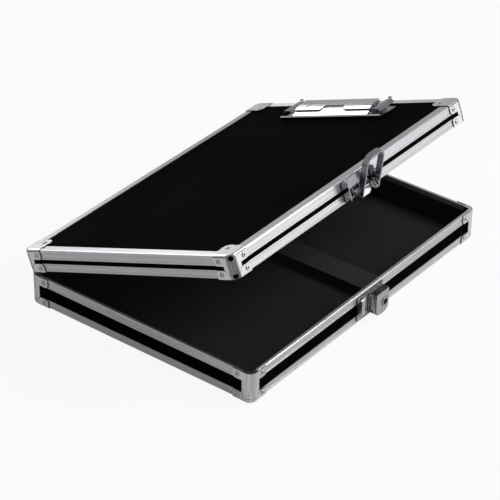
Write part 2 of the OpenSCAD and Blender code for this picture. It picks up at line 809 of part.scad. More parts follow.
module clip_base() {
    color(chrome) clip_place() difference() {
        union() {
            translate([plate_front, -roll_in - roll_r, 0])
                cube([clip_rear - plate_front, 2 * (roll_in + roll_r), clip_t]);
            for (k = [0, 1]) mirror([0, k, 0]) {
                along_clip(ear_y - clip_t / 2, ear_y + clip_t / 2) {
                    translate([0, clip_pin_up]) circle(2.2);
                    polygon([[-6.5, 0], [-2.2, clip_pin_up], [2.2, clip_pin_up], [6.5, 0]]);
                }
                translate([roll_front, 0, 0]) rotate([90, 0, 90])
                    linear_extrude(clip_rear + 1 - roll_front) polygon(ribbon(roll_path(), clip_t));
                along_clip(roll_in + roll_r + 0.6, roll_in + roll_r + roll_flat)
                    polygon(ribbon(hook_path, clip_t));
            }
        }
        for (y = [-1, 1]) translate([0, y * clip_rivet_y, 0])
            cylinder(r = shank_r, h = 4 * clip_t, center = true);
        clip_bore(clip_pin_r + pin_play);
    }
}

// Path of the jaw's sheet in (x, z), from its lip to its rear edge, at rest
jaw_path = concat([[lip_front + 2.2, 0.4]], arc(lip_front + 2, 2.4, 2, 250, 130),
    [[lip_front + 4.5, 5.6], [lip_front + 8.5, 6.9], [-4, 7.8], [2, 8.2], [6.5, jaw_rear_up]]);
// Ribbon of thickness t under a path
function under(path, t) = [for (i = [0 : len(path) - 1]) let (
    a = path[max(i - 1, 0)], b = path[min(i + 1, len(path) - 1)],
    d = (b - a) / norm(b - a)) path[i] + t * [d[1], -d[0]]];
function ribbon(path, t) = let (low = under(path, t))
    concat(path, [for (i = [len(low) - 1 : -1 : 0]) low[i]]);
function first(path, n) = [for (i = [0 : n - 1]) path[i]];

module clip_jaw() {
    color(chrome) clip_place() difference() {
        union() {
            along_clip(-jaw_len / 2, jaw_len / 2) polygon(ribbon(jaw_path, clip_t));
            along_clip(-clip_len / 2, clip_len / 2) polygon(ribbon(first(jaw_path, 8), clip_t));
            for (y = [-jaw_len / 2, jaw_len / 2 - clip_t]) along_clip(y, y + clip_t) {
                translate([0, clip_pin_up]) circle(2.4);
                polygon([[lip_front + 8.5, 6.4], [-2.4, clip_pin_up], [2.4, clip_pin_up], [6, 8.2],
                    [-4, 7.3]]);
            }
            jaw_cover();
            jaw_tab();
            // the rear edge is folded up into a bead
            along_clip(-jaw_len / 2, jaw_len / 2) translate([6.5, jaw_rear_up - 0.2]) circle(1.1);
        }
        clip_bore(clip_pin_r + pin_play);
    }
}

// Upper sheet, folded back over the jaw: its front edge stands clear of the lower sheet
cover_t = 0.9;
cover_path = [[cover_front, 7.6], [lip_front + 9.5, 8.8], [-4, 9.6], [2, 10], [5.5, 10.1], [7.4, 9.5]];
// Trapezium in (x, y) between two places on x, with half widths there
module tab_plan(front, rear, front_half, rear_half) {
    translate([0, 0, -1]) linear_extrude(far) polygon([[front, -front_half], [rear, -rear_half],
        [rear, rear_half], [front, front_half]]);
}
module jaw_cover() {
    difference() {
        along_clip(-jaw_len / 2, jaw_len / 2) polygon(ribbon(cover_path, cover_t));
        tab_plan(cover_front - 1, cover_front + 6, thumb_w / 2, thumb_w / 2 - 4.5);
    }
    for (y = [-jaw_len / 2, jaw_len / 2 - clip_t]) along_clip(y, y + clip_t)
        polygon(concat(cover_path, [[5.5, 8], [cover_front, 5.9]]));
}
// Raised tab of the lower sheet, in the notch of the upper one
module jaw_tab() {
    intersection() {
        along_clip(-thumb_w / 2, thumb_w / 2) polygon(ribbon([[lip_front + 3.4, 5.4],
            [lip_front + 8.5, 7.6], [lip_front + 12, 8.3]], cover_t));
        tab_plan(lip_front + 3.4, lip_front + 11.3, thumb_w / 2 - 0.2, thumb_w / 2 - 5);
    }
}

module clip_pin() {
    color(steel) clip_place() translate([0, -ear_y - 0.7, clip_pin_up]) rotate([-90, 0, 0])
        cylinder(r = clip_pin_r, h = 2 * (ear_y + 0.7));
}

// Closely wound spring round the pin, with one leg on the base and one under the jaw
module clip_spring() {
    turns = 16;
    pitch = spring_l / turns;
    bore = clip_pin_r + pin_play;
    color(steel) clip_place() difference() {
        union() {
            translate([0, -spring_l / 2, clip_pin_up]) rotate([-90, 0, 0]) rotate_extrude($fn = 32)
                polygon(concat([[bore, 0]], [for (i = [0 : turns - 1], s = [0.15, 0.5, 0.85])
                    [bore + (s == 0.5 ? 0.8 : 0.5), pitch * (i + s)]], [[bore, spring_l]]));
            translate([-8, -spring_l / 2 + 0.2, clip_t + 0.1]) cube([8, 0.8, 0.8]);
            translate([-1.8, -spring_l / 2 + 0.2, clip_t + 0.1]) cube([0.8, 0.8, clip_pin_up - clip_t]);
        }
        clip_bore(bore);
    }
}

module clip_rivets() {
    color(chrome) clip_place() for (y = [-1, 1]) translate([0, y * clip_rivet_y, 0]) rivet(clip_t);
}

// ---------- the whole ----------

color(black) base_place() tray_board();  // base_floor_panel
for (k = [0 : 3]) {
    color(black) base_place() tray_wall(k, tray_h);
    color(alu) base_place() rim_trim(k, tray_h, base_rim_face);
    color(alu) base_place() edge_trim(k, base_edge_face);
    foot_cap(k);
    color(black) lid_place() tray_wall(k, lid_h);
    color(alu) lid_place() rim_trim(k, lid_h, lid_rim_face);
    color(alu) lid_place() edge_trim(k, lid_edge_face);
    lid_corner_cap(k);
}
base_rim_caps();
color(cloth) base_place() tray_lining(tray_h);  // base_lining
elastic_strap();
strap_rivets();
base_rivets();
lock_body();
lock_cylinder();
lock_bolt();
color(steel) hinge_leaf(0, -1);  // hinge_leaf_base
hinge_pin();
color(black) lid_place() tray_board();  // lid_board
lid_rim_caps();
color(cloth) lid_place() tray_lining(lid_h);  // lid_lining
lid_rivets();
color(steel) lid_open() hinge_leaf(1, 1);  // hinge_leaf_lid
latch_bracket();
latch_lever();
latch_lever_pin();
latch_loop_pins();
latch_loop();
clip_base();
clip_jaw();
clip_pin();
clip_spring();
clip_rivets();
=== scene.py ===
# %% [markdown]
# # A lockable storage clipboard
# The real object is a shallow case whose lid is the writing board. Its panels are black laminate, and
# every edge is held by aluminium trims, pressed steel corner caps and hollow rivets. A spring clip sits
# on the lid, a loop latch hangs on its front, and an elastic strap crosses the tray.
# The rigid pieces arrive ready made in one shared frame. This lesson gives them their finishes, and it
# models what a designer would not draw in the construction: the rolled heads of the rivets, the weave of
# the strap, and the fine seams of the corner caps, with their shade painted as dark strips.

# %% Load the frame
import bpy
import bmesh
import json
import math
from mathutils import Vector, Matrix


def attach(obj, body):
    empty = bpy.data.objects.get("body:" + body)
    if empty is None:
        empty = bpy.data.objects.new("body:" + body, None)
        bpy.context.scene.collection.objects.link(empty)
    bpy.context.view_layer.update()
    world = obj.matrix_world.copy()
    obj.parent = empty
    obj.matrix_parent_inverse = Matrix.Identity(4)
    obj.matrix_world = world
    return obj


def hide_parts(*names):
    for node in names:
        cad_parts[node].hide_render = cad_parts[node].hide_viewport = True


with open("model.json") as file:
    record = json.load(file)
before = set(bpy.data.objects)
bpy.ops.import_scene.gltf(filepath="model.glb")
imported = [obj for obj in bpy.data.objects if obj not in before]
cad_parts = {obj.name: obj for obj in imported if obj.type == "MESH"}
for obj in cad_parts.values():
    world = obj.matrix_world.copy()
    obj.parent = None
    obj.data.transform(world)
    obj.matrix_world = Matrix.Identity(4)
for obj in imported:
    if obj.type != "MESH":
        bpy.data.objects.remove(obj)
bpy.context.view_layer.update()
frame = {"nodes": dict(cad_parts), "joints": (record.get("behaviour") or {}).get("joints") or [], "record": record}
NODES = frame["nodes"]

# %% [markdown]
# ## Camera
# The camera looks at the near left corner from above, from about two metres away, with a long lens, so
# the edges of the case run almost parallel. The lens is given as a focal length in picture widths, and
# a small shift moves the picture without turning the camera. That keeps every other view tidy.

# %% Camera
AZIMUTH, ELEVATION, ROLL = map(math.radians, (-52.85, 33.48, 0.93))
DISTANCE = 2.0557
FOCAL_WIDTHS = 4.6036
SHIFT = (-0.0155, 0.0357)


def new_object(name, data):
    """Makes an object at the origin and links it to the scene."""
    made = bpy.data.objects.new(name, data)
    bpy.context.scene.collection.objects.link(made)
    return made


camera_data = bpy.data.cameras.new("camera")
camera_data.sensor_width = 36
camera_data.lens = FOCAL_WIDTHS * camera_data.sensor_width
camera_data.shift_x, camera_data.shift_y = SHIFT
camera = new_object("camera", camera_data)
bpy.context.scene.camera = camera
back = Vector((math.sin(AZIMUTH) * math.cos(ELEVATION), -math.cos(AZIMUTH) * math.cos(ELEVATION),
               math.sin(ELEVATION)))
camera.matrix_world = (Matrix.Translation(back * DISTANCE) @ back.to_track_quat("Z", "Y").to_matrix().to_4x4()
                       @ Matrix.Rotation(ROLL, 4, "Z"))
print("camera at", [round(v, 3) for v in camera.location], "lens", round(camera_data.lens, 1))

# %% [markdown]
# ## Floor and background
# A product like this is shown on white. More light would bleach the trims, so the white comes from the
# Light Path node instead. Rays that come straight from the camera meet a white glow, rays off metal or
# glass meet a small share of it, and all other rays meet a plain pale surface. A little of the real floor
# is kept in the camera's mix too, so the case still stands on a soft shadow.

# %% Background helpers
def node_tree(owner):
    owner.use_nodes = True
    owner.node_tree.nodes.clear()
    return owner.node_tree


def add(tree, kind, inputs=None, **settings):
    """Adds a node, sets its attributes, and sets or links its inputs."""
    node = tree.nodes.new(kind)
    for name, value in settings.items():
        setattr(node, name, value)
    for name, value in (inputs or {}).items():
        if isinstance(value, bpy.types.NodeSocket):
            tree.links.new(value, node.inputs[name])
        else:
            node.inputs[name].default_value = value
    return node


def calc(tree, operation, *values):
    """One Math node. Each value is a number or another node's output."""
    return add(tree, "ShaderNodeMath", dict(enumerate(values)), operation=operation).outputs[0]


def sees_background(tree, camera_share, mirror_share):
    """A value that is camera_share for camera rays and mirror_share for glossy and transmission rays."""
    ray = add(tree, "ShaderNodeLightPath").outputs
    off_a_mirror = calc(tree, "MAXIMUM", ray["Is Glossy Ray"], ray["Is Transmission Ray"])
    mirror_part = calc(tree, "MULTIPLY", off_a_mirror, mirror_share)
    return calc(tree, "MULTIPLY_ADD", ray["Is Camera Ray"], camera_share, mirror_part)

# %% [markdown]
# The floor is one wide square just under the case, far wider than the view, so that no edge of it shows.
# Its colour is a plain pale grey, which sends light back up under the case, as a studio table does. It is
# no part of the object.

# %% Floor
FLOOR_HALF, FLOOR_DROP = 4.0, 0.0002
FLOOR_COLOUR = (0.78, 0.78, 0.78, 1)
CAMERA_WHITE, MIRROR_WHITE = 0.91, 0.06

floor_mesh = bpy.data.meshes.new("floor")
floor_mesh.from_pydata([(x * FLOOR_HALF, y * FLOOR_HALF, 0) for x, y in ((-1, -1), (1, -1), (1, 1), (-1, 1))],
                       [], [(0, 1, 2, 3)])
floor = new_object("floor", floor_mesh)
floor.location.z = -FLOOR_DROP
paper = bpy.data.materials.new("pale_floor")
tree = node_tree(paper)
plain = add(tree, "ShaderNodeBsdfDiffuse", {"Color": FLOOR_COLOUR})
glow = add(tree, "ShaderNodeEmission", {"Color": (1, 1, 1, 1), "Strength": 1.0})
mix = add(tree, "ShaderNodeMixShader", {0: sees_background(tree, CAMERA_WHITE, MIRROR_WHITE),
                                        1: plain.outputs[0], 2: glow.outputs[0]})
add(tree, "ShaderNodeOutputMaterial", {"Surface": mix.outputs[0]})
floor_mesh.materials.append(paper)
print("floor", 2 * FLOOR_HALF, "m wide, white for the camera by", CAMERA_WHITE)

# %% [markdown]
# The world behind everything follows the same rule as the floor. It is white for the camera and a plain
# grey for all other rays, so it lights the black panels evenly and draws no picture in the metal.

# %% World
WORLD_GREY = (0.33, 0.33, 0.335, 1)
world = bpy.data.worlds.new("studio")
bpy.context.scene.world = world
tree = node_tree(world)
room = add(tree, "ShaderNodeBackground", {"Color": WORLD_GREY, "Strength": 1.0})
white = add(tree, "ShaderNodeBackground", {"Color": (1, 1, 1, 1), "Strength": 1.0})
mix = add(tree, "ShaderNodeMixShader", {0: sees_background(tree, 1.0, MIRROR_WHITE),
                                        1: room.outputs[0], 2: white.outputs[0]})
add(tree, "ShaderNodeOutputWorld", {"Surface": mix.outputs[0]})
bpy.context.scene.view_settings.view_transform = "Standard"
print("the world lights the case with a grey of", WORLD_GREY[:3])

# %% [markdown]
# ## Lamps
# Metal shows little but what stands around it, so the lamps are large panels, each placed where one group
# of faces mirrors it. The strip lamp stands low in front of the latch side for the lid's long trims. The
# spill lamp lights the floor before the case, which the upright faces of the base mirror. Two lamps behind
# the case serve the lid's top. Nothing bright stands to the left, so the short side keeps a calm grey.

# %% Lamps
MIDDLE_OF_CASE, FLOOR_IN_FRONT = (0, 0, 0.05), (0.25, -0.45, 0)


def soft_lamp(name, place, aim, size, power):
    data = bpy.data.lights.new(name, "AREA")
    data.shape = "RECTANGLE"
    data.size, data.size_y = size
    data.energy = power
    lamp = new_object(name, data)
    lamp.location = place
    lamp.rotation_euler = (Vector(aim) - Vector(place)).to_track_quat("-Z", "Y").to_euler()
    print(name, "power", power, "W")


soft_lamp("strip_lamp", (1.25, -1.38, 0.28), MIDDLE_OF_CASE, (1.5, 0.5), 2.4)
soft_lamp("spill_lamp", (0.5, -0.75, 0.9), FLOOR_IN_FRONT, (0.6, 0.6), 8.2)
soft_lamp("back_lamp", (0.67, 1.63, 0.72), MIDDLE_OF_CASE, (0.9, 0.6), 4.0)
soft_lamp("high_lamp", (0.1, 1.75, 0.95), MIDDLE_OF_CASE, (0.9, 0.6), 3.0)

# %% [markdown]
# ## The open lid
# The frame shows the case with its lid standing open. The hinge is one of the frame's joints, and its
# lower limit is the shut lid, so the axis and the angle are both read from it. What sits on the lid is
# easier to place with the lid shut, and is then turned open with this matrix.

# %% Open lid
lid_hinge = next(joint for joint in frame["joints"] if joint["name"] == "lid_hinge")
OPEN = math.radians(-lid_hinge["range_deg"][0])
HINGE = Vector(lid_hinge["pos_m"])
hinge_turn = Matrix.Translation(HINGE) @ Matrix.Rotation(-OPEN, 4, "X") @ Matrix.Translation(-HINGE)
print("lid open by", round(math.degrees(OPEN), 1), "degrees about", [round(v, 4) for v in HINGE])

# %% [markdown]
# ## Finishes
# Every finish here is a small node tree that reads Object coordinates. The frame's pieces sit at the
# origin unmoved, so one centimetre of texture is one centimetre of metal on every piece, and nothing has
# to be unwrapped. What the finishes share most is a noise, which can be stretched into lines and then
# spread over a range of values or between two colours.

# %% Noise helpers
def object_point(tree, stretch=(1, 1, 1), tilt=0.0):
    """Object coordinates, turned about X by tilt and then stretched."""
    place = add(tree, "ShaderNodeTexCoord")
    level = add(tree, "ShaderNodeVectorRotate", {"Vector": place.outputs["Object"], "Angle": tilt},
                rotation_type="X_AXIS")
    return add(tree, "ShaderNodeVectorMath", {0: level.outputs[0], 1: stretch},
               operation="MULTIPLY").outputs[0]


def grain(tree, per_metre, stretch=(1, 1, 1), detail=3.0, low=0.3, high=0.7, tilt=0.0):
    """Noise of that many features per metre, spread over 0 to 1."""
    noise = add(tree, "ShaderNodeTexNoise", {"Vector": object_point(tree, stretch, tilt), "Scale": per_metre,
                                             "Detail": detail, "Roughness": 0.6})
    return add(tree, "ShaderNodeMapRange", {"Value": noise.outputs["Fac"], "From Min": low,
                                            "From Max": high}).outputs[0]


def between(tree, value, low, high):
    return add(tree, "ShaderNodeMapRange", {"Value": value, "To Min": low, "To Max": high}).outputs[0]


def blend_colour(tree, value, dark, light):
    mix = add(tree, "ShaderNodeMix", {"Factor": value}, data_type="RGBA")
    mix.inputs[6].default_value = (*dark, 1)
    mix.inputs[7].default_value = (*light, 1)
    return mix.outputs[2]

# %% [markdown]
# Two more helpers deal with directions. A bump bends the light on a surface and never moves the surface
# itself, so it is kept for what is too fine to model. A direction that belongs to a piece has to be
# turned into the world's, or the lines on the lid would stay behind when it swings.

# %% Direction helpers
def direction(tree, vector):
    """A direction of the piece itself, which turns with it when the lid swings."""
    turn = add(tree, "ShaderNodeVectorTransform", {0: vector}, vector_type="VECTOR",
               convert_from="OBJECT", convert_to="WORLD")
    return turn.outputs[0]


def bump(tree, height, depth, normal=None):
    """depth is in metres."""
    node = add(tree, "ShaderNodeBump", {"Height": height, "Distance": depth, "Strength": 1.0})
    if normal is not None:
        tree.links.new(normal, node.inputs["Normal"])
    return node.outputs[0]

# %% [markdown]
# Shade is painted where a surface is hemmed in: beside a rivet's head, under the edge of a cap, in
# the step between two trims. The Ambient Occlusion node finds such places, because it is low wherever
# other surfaces stand within its reach. A reach of less than two millimetres keeps the painted shade to the seams.

# %% Painted shade in seams
SHADE_REACH, SHADE_LEAST = 0.0018, 0.06
HEMMED_IN, IN_THE_OPEN = 0.56, 0.93


def painted_crevice_shade(tree, colour):
    """Paints shade into a colour where a surface is hemmed in, darkening it down to the least share set above."""
    near = add(tree, "ShaderNodeAmbientOcclusion", {"Distance": SHADE_REACH}, samples=6, only_local=False)
    keep = add(tree, "ShaderNodeMapRange", {"Value": near.outputs["AO"], "From Min": HEMMED_IN,
                                            "From Max": IN_THE_OPEN, "To Min": SHADE_LEAST}).outputs[0]
    mix = add(tree, "ShaderNodeMix", {}, data_type="RGBA", blend_type="MULTIPLY")
    mix.inputs[0].default_value = 1.0
    tree.links.new(colour, mix.inputs[6])
    tree.links.new(keep, mix.inputs[7])
    return mix.outputs[2]

# %% [markdown]
# Every finish ends in one Principled shader. So each is written as a function that returns that shader's
# inputs by name, and one helper makes the material around it.

# %% Making a finish
def finish(name, build):
    """Makes a material whose build function returns the inputs of its Principled shader."""
    made = bpy.data.materials.new(name)
    tree = node_tree(made)
    shader = add(tree, "ShaderNodeBsdfPrincipled", build(tree))
    add(tree, "ShaderNodeOutputMaterial", {"Surface": shader.outputs[0]})
    print("finish", name, "with", len(tree.nodes), "nodes")
    return made

# %% [markdown]
# ### Laminate
# The panels are thin board with a black melamine face. It is nearly as dark as black gets, so what makes
# it read as a real surface is the faint, uneven sheen: a low, rough reflection and a very fine peel.

# %% Laminate
def laminate(tree):
    handled = grain(tree, 14, detail=4)
    peel = grain(tree, 1400, detail=1)
    return {"Base Color": (0.002, 0.002, 0.0023, 1), "Roughness": between(tree, handled, 0.50, 0.62),
            "Specular IOR Level": 0.003, "Normal": bump(tree, peel, 0.000004)}


black_laminate = finish("black_laminate", laminate)

# %% [markdown]
# ### Extruded trims
# Aluminium sections are drawn through a die and satin anodised. The die leaves lines along the length,
# so a trim that runs left to right needs another direction than one that runs front to back: the same
# recipe is made once for each, with the noise stretched along X or along Y. The lid stands open in this
# frame, so on its short sides the lines follow the opened lid. The same lines spread a reflection across
# the trim and not along it, which is what the anisotropic inputs of the shader say.

# %% Trims
LINES_PER_METRE = 900
LENGTH_STRETCH = 0.012


def drawn_aluminium(stretch, along, tilt=0.0):
    def build(tree):
        lines = grain(tree, LINES_PER_METRE, stretch, detail=2, tilt=tilt)
        handled = grain(tree, 22, detail=4)
        rough = calc(tree, "ADD", between(tree, lines, 0.0, 0.10), between(tree, handled, 0.27, 0.36))
        metal = blend_colour(tree, lines, (0.61, 0.62, 0.64), (0.73, 0.74, 0.75))
        return {"Base Color": painted_crevice_shade(tree, metal), "Metallic": 1.0, "Roughness": rough,
                "Normal": bump(tree, lines, 0.000006),
                "Anisotropic": 0.75, "Anisotropic Rotation": 0.25, "Tangent": direction(tree, along)}
    return build


trim_along_x = finish("trim_along_x", drawn_aluminium((LENGTH_STRETCH, 1, 1), (1, 0, 0)))
trim_along_y = finish("trim_along_y", drawn_aluminium((1, LENGTH_STRETCH, 1), (0, 1, 0)))
lid_trim = finish("lid_trim_along_y", drawn_aluminium((1, LENGTH_STRETCH, 1),
                                                      (0, math.cos(OPEN), -math.sin(OPEN)), tilt=OPEN))

# %% [markdown]
# ### Bends of the corner caps
# A corner cap is one piece of sheet, drawn round an upright corner. Shade is painted onto the bend in fine
# upright lines, so that it stands darker than the flat arms beside it. The bend needs no mask of its own: the
# normal tells where it is, because only there does it lean towards X and Y at once.

# %% Painted shade on the bends
LEAN_FROM, LEAN_TO = 0.03, 0.20
SHADE_LINE_SPREAD = 0.3


def shaded_bend(tree, colour, share, tilt):
    """Paints shade on the bends of the upright corners: multiplies a colour by about share there, in fine upright
    lines.
    """
    place = add(tree, "ShaderNodeTexCoord")
    level = add(tree, "ShaderNodeVectorRotate", {"Vector": place.outputs["Normal"], "Angle": tilt},
                rotation_type="X_AXIS")
    parts = add(tree, "ShaderNodeSeparateXYZ", {0: level.outputs[0]})
    lean = calc(tree, "ABSOLUTE", calc(tree, "MULTIPLY", parts.outputs[0], parts.outputs[1]))
    bent = add(tree, "ShaderNodeMapRange", {"Value": lean, "From Min": LEAN_FROM, "From Max": LEAN_TO})
    shade_lines = between(tree, grain(tree, 900, (1, 1, 0.03), detail=2, tilt=tilt),
                   share * (1 - SHADE_LINE_SPREAD), share * (1 + SHADE_LINE_SPREAD))
    keep = add(tree, "ShaderNodeMix", {"Factor": bent.outputs[0], 2: 1.0, 3: shade_lines})
    return add(tree, "ShaderNodeVectorMath", {0: colour, "Scale": keep.outputs[0]},
               operation="SCALE").outputs[0]

# %% [markdown]
# ### Pressed and plated steel
# Corner caps, hinge and clip are pressed from sheet and plated. Pressing leaves the sheet slightly
# uneven, which shows as a soft wobble in the highlights. How polished a piece is comes down to a few
# numbers: its colour, its lowest roughness, how far handling marks raise that, and how deep the wobble is.

# %% Plated steel
def plated(colour, rough, marks, wobble, dark=0.86, bend=None, tilt=0.0):
    """wobble is in metres, dark is the share of the colour that is left in the handled places, and bend is the
    share left on the bends of the caps, where shade is painted.
    """
    def build(tree):
        handled = grain(tree, 35, detail=5)
        specks = grain(tree, 420, detail=2, low=0.52, high=0.78)
        dulled = calc(tree, "ADD", between(tree, handled, rough, rough + marks),
                      between(tree, specks, 0.0, marks))
        low = tuple(c * dark for c in colour)
        uneven = bump(tree, grain(tree, 160, detail=1), wobble)
        sheet = blend_colour(tree, handled, low, colour)
        if bend is not None:
            sheet = shaded_bend(tree, sheet, bend, tilt)
        return {"Base Color": painted_crevice_shade(tree, sheet), "Metallic": 1.0, "Roughness": dulled,
                "Normal": bump(tree, grain(tree, 2200, detail=2), wobble * 0.04, uneven)}
    return build

# %% [markdown]
# The pieces are told apart by those numbers alone. Caps and rivets are bright and half matt, the hinge and
# small plates are duller, and the clip's jaw comes nearest to a mirror. The lid's caps get more painted shade
# on their bends than the base's, and they stand open with the lid, so they have a finish of their own.

# %% Steel finishes
CAP = {"colour": (0.87, 0.88, 0.89), "rough": 0.26, "marks": 0.12, "wobble": 0.00004, "dark": 0.90}

cap_steel = finish("cap_steel", plated(**CAP, bend=0.80))
lid_cap_steel = finish("lid_cap_steel", plated(**CAP, bend=0.42, tilt=OPEN))
rivet_steel = finish("rivet_steel", plated((0.80, 0.80, 0.81), 0.20, 0.10, 0.00002))
# Near-black steel for the rivets' bores is painted shade, for the inside of a hollow rivet.
rivet_bore_shade = finish("rivet_bore_shade", plated((0.03, 0.03, 0.03), 0.55, 0.10, 0.00002))
plain_steel = finish("plain_steel", plated((0.56, 0.56, 0.58), 0.30, 0.12, 0.00003))
cylinder_steel = finish("cylinder_steel", plated((0.05, 0.05, 0.055), 0.26, 0.10, 0.00002))
chrome = finish("chrome", plated((0.83, 0.84, 0.86), 0.07, 0.06, 0.00003, dark=0.95))
# The next chrome is darkened with painted shade and a painted dark reflection of the black lid; the one after it,
# for the lever, is made paler with a painted highlight.
shaded_chrome = finish("shaded_chrome", plated((0.44, 0.45, 0.47), 0.10, 0.06, 0.00003, dark=0.90))
highlit_lever_chrome = finish("highlit_lever_chrome", plated((0.93, 0.93, 0.94), 0.34, 0.10, 0.00003, dark=0.95))
lock_nickel = finish("lock_nickel", plated((0.62, 0.62, 0.64), 0.20, 0.12, 0.00005, dark=0.82))
# Near-black steel for the painted shade in the folds of the lid's caps.
fold_seam_shade = finish("fold_seam_shade", plated((0.012, 0.012, 0.012), 0.70, 0.10, 0.00002))

# %% [markdown]
# ### Lining
# The case is lined with a thin black flocked sheet. Fibres scatter light at a low angle, so a little
# sheen lifts its edges, and a fine noise breaks the flat colour.

# %% Lining
def flock(tree):
    fibres = grain(tree, 2600, detail=2)
    wear = grain(tree, 18, detail=4)
    colour = blend_colour(tree, wear, (0.007, 0.007, 0.008), (0.013, 0.013, 0.014))
    return {"Base Color": colour, "Roughness": 0.95, "Specular IOR Level": 0.15,
            "Sheen Weight": 0.12, "Sheen Roughness": 0.5, "Normal": bump(tree, fibres, 0.00003)}


lining = finish("lining", flock)

# %% [markdown]
# ### Elastic
# In the construction the elastic strap is a plain smooth band. The last piece of this lesson takes its
# place, with a real weave, so here it only needs the right black: matt, uneven in the fibres, and with a
# little sheen at a low angle.

# %% Elastic
def woven(tree):
    fibres = grain(tree, 1800, detail=2)
    return {"Base Color": blend_colour(tree, fibres, (0.006, 0.006, 0.007), (0.014, 0.014, 0.015)),
            "Roughness": 0.85, "Specular IOR Level": 0.3, "Sheen Weight": 0.15, "Sheen Roughness": 0.4}


elastic = finish("elastic", woven)

# %% [markdown]
# ### Painting the frame
# The record names a finish slot for each piece of the frame, so the pieces are painted by slot. The trims
# need a look at the name as well, for the direction they run in. So do some fittings: the latch's loop and
# bracket and the clip's base get a chrome darkened with painted shade and a painted dark reflection, the
# lever a rougher chrome made paler with a painted highlight, and the lock's case is plain nickel.

# %% Paint the frame
FINISHES = {"black_laminate": black_laminate, "cap_steel": cap_steel, "rivet_steel": rivet_steel,
            "lining": lining, "elastic": elastic, "cylinder_steel": cylinder_steel,
            "plain_steel": plain_steel, "chrome": chrome}
SPECIAL = {"latch_loop": shaded_chrome, "latch_bracket": shaded_chrome, "latch_lever": highlit_lever_chrome,
           "lock_body": lock_nickel, "clip_base": shaded_chrome}


def finish_of(name, slot):
    if slot == "trim_aluminium" and name.endswith(("front", "back")):
        return trim_along_x
    if slot == "trim_aluminium":
        return lid_trim if name.startswith("lid") else trim_along_y
    if slot == "cap_steel" and name.startswith("lid"):
        return lid_cap_steel
    return SPECIAL.get(name, FINISHES[slot])


def paint(piece, material):
    for place in piece.material_slots:
        place.link = "OBJECT"
        place.material = material


for row in frame["record"]["subparts"]:
    paint(NODES[row["node"]], finish_of(row["node"], row["material_slot"]))

# %% [markdown]
# ## Rivets
# The case is held together by hollow rivets: a domed head whose middle is drawn in where the tool has
# rolled it over. There are more than fifty, all alike, so one Geometry Nodes tree makes the head once
# and sets it on every rivet's place. Sizes are in millimetres from here on, as on a drawing. Those that a
# piece of the frame already has are measured on it, so that what is added here can't drift away from it.

# %% Measuring the frame
MM = 0.001
LID_NODES = set(frame["record"]["behaviour"]["bodies"]["lid"])


def point(x, y, z):
    return Vector((x, y, z)) * MM


def extent(name, pick, axis):
    """How far a node goes in mm: pick is min or max, and a piece of the lid is shut first."""
    shut = hinge_turn.inverted() if name in LID_NODES else Matrix()
    return round(pick((shut @ vert.co)["xyz".index(axis)] for vert in NODES[name].data.vertices) / MM, 3)


def middle(name, axis):
    return (extent(name, min, axis) + extent(name, max, axis)) / 2


HALF_L = extent("base_edge_trim_right", max, "x")
HALF_W = extent("base_edge_trim_back", max, "y")
LID_TOP = extent("lid_edge_trim_front", max, "z")
CAP_T = round(extent("base_rim_caps", max, "x") - HALF_L, 3)
print("case", 2 * HALF_L, "by", 2 * HALF_W, "mm, shut", LID_TOP, "mm high, caps", CAP_T, "mm thick")

# %% [markdown]
# A tree is easier to reuse when its sizes are inputs, as on any of Blender's own nodes. Each is declared
# with a name, a kind and the value that this case's rivets have.

# %% Rivet inputs
def rivet_inputs(tree):
    for name, kind, value in (("Places", "Geometry", None), ("Head Radius", "Float", 2.1 * MM),
                              ("Head Height", "Float", 0.9 * MM), ("Height Spread", "Float", 0.06),
                              ("Seed", "Int", 3), ("Hole Depth", "Float", 0.5 * MM),
                              ("Sunk", "Float", 0.6 * MM), ("Finish", "Material", None),
                              ("Bore Shade", "Material", None)):
        made = tree.interface.new_socket(name=name, in_out="INPUT", socket_type="NodeSocket" + kind)
        if value is not None:
            made.default_value = value
    return add(tree, "NodeGroupInput").outputs

# %% [markdown]
# The head starts as a cylinder whose end has many rings, half of it sunk under the surface. A curve of
# height against radius then lifts the rings into a dome with a hole, as a lathe tool would cut it. What
# lies within the bore is remembered with the faces, so that the shade inside the hollow rivet can be painted on it
# at the end.

# %% Rivet head
PROFILE = ((0.0, 0.0), (0.22, 0.03), (0.33, 0.60), (0.43, 0.94), (0.58, 1.0), (0.80, 0.90), (1.0, 0.58))
HEAD_SIDES, HEAD_RINGS, BORE_SHARE = 28, 10, 0.30


def domed(tree, share):
    """The height of the head from 0 to 1, at a share of its radius."""
    curve = add(tree, "ShaderNodeFloatCurve", {"Value": share})
    line = curve.mapping.curves[0]
    line.points[0].location, line.points[1].location = PROFILE[0], PROFILE[-1]
    for x, y in PROFILE[1:-1]:
        line.points.new(x, y)
    curve.mapping.update()
    return curve.outputs[0]


